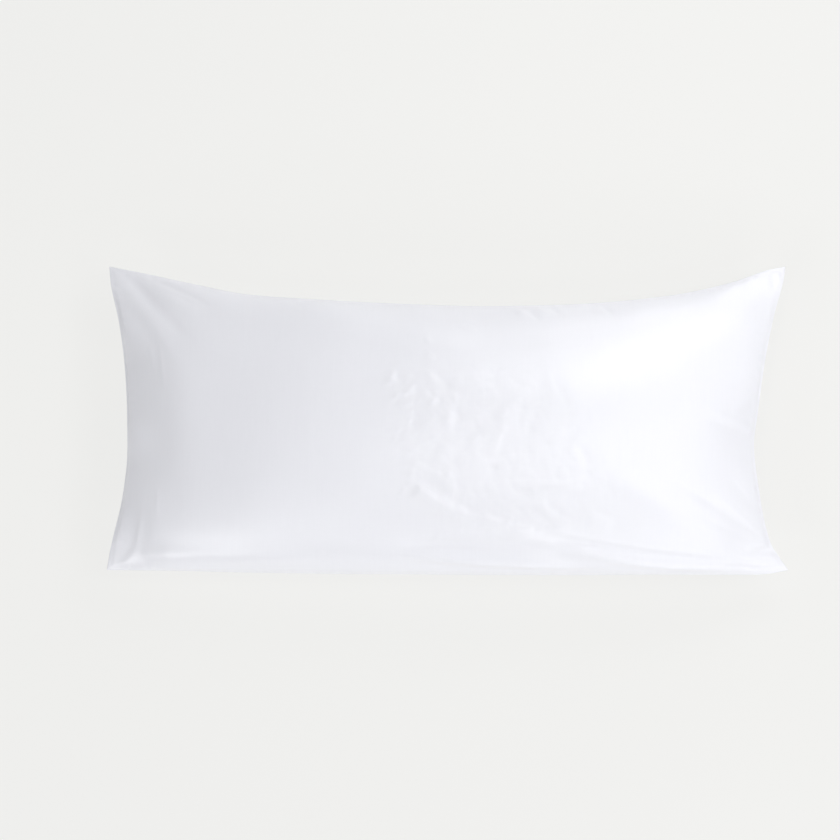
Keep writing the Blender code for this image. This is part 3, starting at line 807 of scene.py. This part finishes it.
def cloth_moves(front, back, u, v):
    """How the filling's pressure moves a case of half the final cells, held at its seam."""
    start = case_mesh("pressed_cloth", front, back)
    points = read_points(start)
    cloth = put_in_scene("pressed_cloth", start)
    front_id = np.arange(front.shape[0] * front.shape[1]).reshape(front.shape[:2])
    seam = np.concatenate((front_id[0], front_id[-1], front_id[:, 0], front_id[:, -1]))
    resting = np.flatnonzero(points[:, 2] < RESTING_HEIGHT)
    held = cloth.vertex_groups.new(name="held")
    held.add([int(k) for k in np.union1d(seam, resting)], 1.0, "REPLACE")
    loose = cloth.vertex_groups.new(name="loose")
    slack = crumple_oval(Panel(front, u, v)).reshape(-1)
    for k in np.flatnonzero(slack > LEAST_SLACK):
        loose.add([int(k)], float(slack[k]), "REPLACE")

    modifier = cloth.modifiers.new("cloth", "CLOTH")
    settings = modifier.settings
    settings.quality = CLOTH_QUALITY
    settings.tension_stiffness = CLOTH_TENSION
    settings.compression_stiffness = CLOTH_COMPRESSION
    settings.shear_stiffness = CLOTH_SHEAR
    settings.bending_stiffness = CLOTH_BENDING
    settings.air_damping = CLOTH_AIR_DAMPING
    settings.vertex_group_mass = "held"
    settings.use_pressure = True
    settings.uniform_pressure_force = CLOTH_PRESSURE
    settings.effector_weights.gravity = 0
    settings.vertex_group_shrink = "loose"
    settings.shrink_max = CLOTH_SHRINK
    modifier.collision_settings.use_collision = False
    modifier.point_cache.frame_end = CLOTH_FRAMES
    for frame_number in range(1, CLOTH_FRAMES + 1):
        bpy.context.scene.frame_set(frame_number)
    settled = cloth.evaluated_get(bpy.context.evaluated_depsgraph_get())
    moves = read_points(settled.to_mesh()) - points
    settled.to_mesh_clear()
    bpy.data.objects.remove(cloth)
    bpy.context.scene.frame_set(1)

    front_moves = moves[: front_id.size].reshape(front.shape)
    back_moves = np.zeros_like(back)
    inner = (back.shape[0] - 2, back.shape[1] - 2, 3)
    back_moves[1:-1, 1:-1] = moves[front_id.size :].reshape(inner)
    return capped(front_moves, u, v), capped(back_moves, u[::2, ::2], v[::2, ::2])


def pressed_moves(us, vs):
    """The filling's moves, found on a coarse even grid and read at the final cells."""
    shares = grid_shares(FRONT_ALONG // 2, FRONT_ACROSS // 2, crowding=0)
    u, v = np.meshgrid(*shares, indexing="ij")
    back_shares = (shares[0][::2], shares[1][::2])
    front_moves, back_moves = cloth_moves(
        front_surface(u, v), back_surface(u[::2, ::2], v[::2, ::2]), u, v
    )
    return (
        resampled(front_moves, shares, (us, vs)),
        resampled(back_moves, back_shares, (us[::2], vs[::2])),
    )


def make_case():
    """The satin case, centred in plan on the middle of its box."""
    us, vs = grid_shares(FRONT_ALONG, FRONT_ACROSS, CROWDING)
    u, v = np.meshgrid(us, vs, indexing="ij")
    front = front_surface(u, v)
    back = back_surface(u[::2, ::2], v[::2, ::2])
    front_moves, back_moves = pressed_moves(us, vs)
    front = front + front_moves
    back = back + back_moves
    front[..., 2] -= crown(u, v) * flange(u)
    back[..., 2] += (belly(u, v) * flange(u))[::2, ::2]
    back[..., 2] = np.maximum(back[..., 2], 0.0)
    front = dressed_front(Panel(front, u, v))
    back = dressed_back(Panel(back, u[::2, ::2], v[::2, ::2]))
    mesh = case_mesh("satin_case", front, back)
    points = read_points(mesh)
    middle = (points.min(axis=0) + points.max(axis=0)) / 2
    points[:, :2] -= middle[:2]
    mesh.vertices.foreach_set("co", points.reshape(-1))
    mesh.shade_smooth()
    return put_in_scene("satin_case", mesh)


# ---------------------------------------------------------------- materials


def new_material(name):
    material = bpy.data.materials.new(name)
    material.use_nodes = True
    tree = material.node_tree
    return material, tree, tree.nodes["Principled BSDF"]


def stretched_noise(tree, places, sizes, detail):
    """Noise drawn out into streaks, with its size in metres along each axis."""
    scaled = tree.nodes.new("ShaderNodeMapping")
    scaled.inputs["Scale"].default_value = [1 / size for size in sizes]
    noise = tree.nodes.new("ShaderNodeTexNoise")
    noise.inputs["Scale"].default_value = 1.0
    noise.inputs["Detail"].default_value = detail
    noise.inputs["Roughness"].default_value = NOISE_ROUGHNESS
    tree.links.new(places, scaled.inputs["Vector"])
    tree.links.new(scaled.outputs["Vector"], noise.inputs["Vector"])
    return noise.outputs["Fac"]


def threads(tree, places, direction, pitch):
    """Even lines of thread at right angles to a direction, a full wave for each pitch."""
    wave = tree.nodes.new("ShaderNodeTexWave")
    wave.wave_type = "BANDS"
    wave.bands_direction = direction
    wave.wave_profile = "SIN"
    wave.inputs["Scale"].default_value = 2 * math.pi / (THREAD_TURN * pitch)
    wave.inputs["Distortion"].default_value = 0.0
    tree.links.new(places, wave.inputs["Vector"])
    return wave.outputs["Fac"]


def combine(tree, operation, first, second):
    """A math node between two values, each a socket or a number."""
    node = tree.nodes.new("ShaderNodeMath")
    node.operation = operation
    for socket, value in zip(node.inputs, (first, second)):
        if isinstance(value, (int, float)):
            socket.default_value = value
        else:
            tree.links.new(value, socket)
    return node.outputs["Value"]


def between(tree, value, low, high):
    """A value from 0 to 1 moved to run from low to high."""
    node = tree.nodes.new("ShaderNodeMapRange")
    node.inputs["To Min"].default_value = low
    node.inputs["To Max"].default_value = high
    tree.links.new(value, node.inputs["Value"])
    return node.outputs["Result"]


def satin():
    """Bluish white satin: fine crossed threads with uneven slubs, and a soft broad gloss."""
    material, tree, shader = new_material("satin_weave")
    places = tree.nodes.new("ShaderNodeTexCoord").outputs["Object"]
    along_warp = (SLUB_WIDTH, SLUB_LENGTH, SLUB_LENGTH)
    along_weft = (SLUB_LENGTH, SLUB_WIDTH, SLUB_WIDTH)
    warp_slubs = stretched_noise(tree, places, along_warp, SLUB_DETAIL)
    weft_slubs = stretched_noise(tree, places, along_weft, SLUB_DETAIL)
    warp = threads(tree, places, "X", THREAD_PITCH)
    weft = threads(tree, places, "Y", THREAD_PITCH)
    clouds = stretched_noise(tree, places, (CLOUD_SIZE, CLOUD_SIZE, CLOUD_SIZE), CLOUD_DETAIL)

    warp_part = combine(tree, "MULTIPLY", warp_slubs, WARP_SHARE)
    weft_part = combine(tree, "MULTIPLY", weft_slubs, WEFT_SHARE)
    slubs = combine(tree, "ADD", warp_part, weft_part)
    weave = combine(tree, "MULTIPLY", warp, weft)
    relief = combine(tree, "ADD", slubs, combine(tree, "MULTIPLY", weave, WEAVE_SHARE))
    bump = tree.nodes.new("ShaderNodeBump")
    bump.inputs["Strength"].default_value = WEAVE_STRENGTH
    bump.inputs["Distance"].default_value = WEAVE_DEPTH
    tree.links.new(relief, bump.inputs["Height"])
    tree.links.new(bump.outputs["Normal"], shader.inputs["Normal"])

    shade = tree.nodes.new("ShaderNodeMix")
    shade.data_type = "RGBA"
    shade.inputs["A"].default_value = (*SATIN_SHADE, 1.0)
    shade.inputs["B"].default_value = (*SATIN_WHITE, 1.0)
    tree.links.new(between(tree, slubs, 0.0, SHADE_REACH), shade.inputs["Factor"])
    tree.links.new(shade.outputs["Result"], shader.inputs["Base Color"])

    smoothest, roughest = SATIN_ROUGHNESS - ROUGHNESS_SPREAD, SATIN_ROUGHNESS + ROUGHNESS_SPREAD
    tree.links.new(between(tree, clouds, smoothest, roughest), shader.inputs["Roughness"])
    shader.inputs["Specular IOR Level"].default_value = SATIN_SPECULAR
    shader.inputs["Sheen Weight"].default_value = SATIN_SHEEN
    shader.inputs["Sheen Roughness"].default_value = SHEEN_ROUGHNESS
    return material


def floor_finish():
    """The floor's even glow over a dull surface that can take a shadow."""
    material, _, shader = new_material("pale_floor")
    shader.inputs["Base Color"].default_value = (*FLOOR_COLOUR, 1.0)
    shader.inputs["Roughness"].default_value = FLOOR_ROUGHNESS
    shader.inputs["Specular IOR Level"].default_value = 0.0
    shader.inputs["Emission Color"].default_value = (*FLOOR_GLOW, 1.0)
    shader.inputs["Emission Strength"].default_value = FLOOR_GLOW_STRENGTH
    return material


# ---------------------------------------------------------------- the studio


def make_floor():
    mesh = bpy.data.meshes.new("floor")
    corners = [(-1, -1, 0), (1, -1, 0), (1, 1, 0), (-1, 1, 0)]
    points = [tuple(FLOOR_REACH * k for k in corner) for corner in corners]
    mesh.from_pydata(points, [], [(0, 1, 2, 3)])
    mesh.materials.append(floor_finish())
    floor = put_in_scene("floor", mesh)
    floor.location.z = -FLOOR_GAP


def put_softbox(box):
    """One soft light, placed by its tilt and heading and turned to the case."""
    tilt, heading = math.radians(box.tilt), math.radians(box.heading)
    aside = box.distance * math.sin(tilt)
    place = (aside * math.cos(heading), aside * math.sin(heading), box.distance * math.cos(tilt))
    data = bpy.data.lights.new(box.name, "AREA")
    data.shape = "RECTANGLE"
    data.size, data.size_y = box.width, box.length
    data.energy = box.power
    light = bpy.data.objects.new(box.name, data)
    light.location = place
    light.rotation_euler = (Vector(AIM) - Vector(place)).to_track_quat("-Z", "Y").to_euler()
    light.visible_camera = False
    bpy.context.scene.collection.objects.link(light)


def make_studio():
    """The even surrounding light and the soft lights, shown as they are."""
    scene = bpy.context.scene
    scene.view_settings.view_transform = "Standard"
    scene.view_settings.look = "None"
    scene.view_settings.exposure = 0.0
    scene.view_settings.gamma = 1.0
    world = bpy.data.worlds.new("studio")
    world.use_nodes = True
    background = world.node_tree.nodes["Background"]
    background.inputs["Color"].default_value = (1, 1, 1, 1)
    background.inputs["Strength"].default_value = WORLD_STRENGTH
    scene.world = world
    for box in SOFTBOXES:
        put_softbox(box)


def make_camera():
    """The camera, high over the case and a little towards its lower edge."""
    data = bpy.data.cameras.new("camera")
    data.sensor_width = SENSOR_WIDTH
    data.lens = SENSOR_WIDTH * CAMERA_DISTANCE / FRAME_WIDTH
    data.dof.use_dof = False
    camera = bpy.data.objects.new("camera", data)
    elevation = math.radians(CAMERA_ELEVATION)
    towards = Vector((0.0, math.cos(elevation), -math.sin(elevation)))
    camera.location = CAMERA_AT
    camera.rotation_euler = towards.to_track_quat("-Z", "Y").to_euler()
    bpy.context.scene.collection.objects.link(camera)
    bpy.context.scene.camera = camera


make_camera()
make_studio()
make_floor()
case = make_case()
case.data.materials.append(satin())
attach(case, "root")
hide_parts("pillowcase")
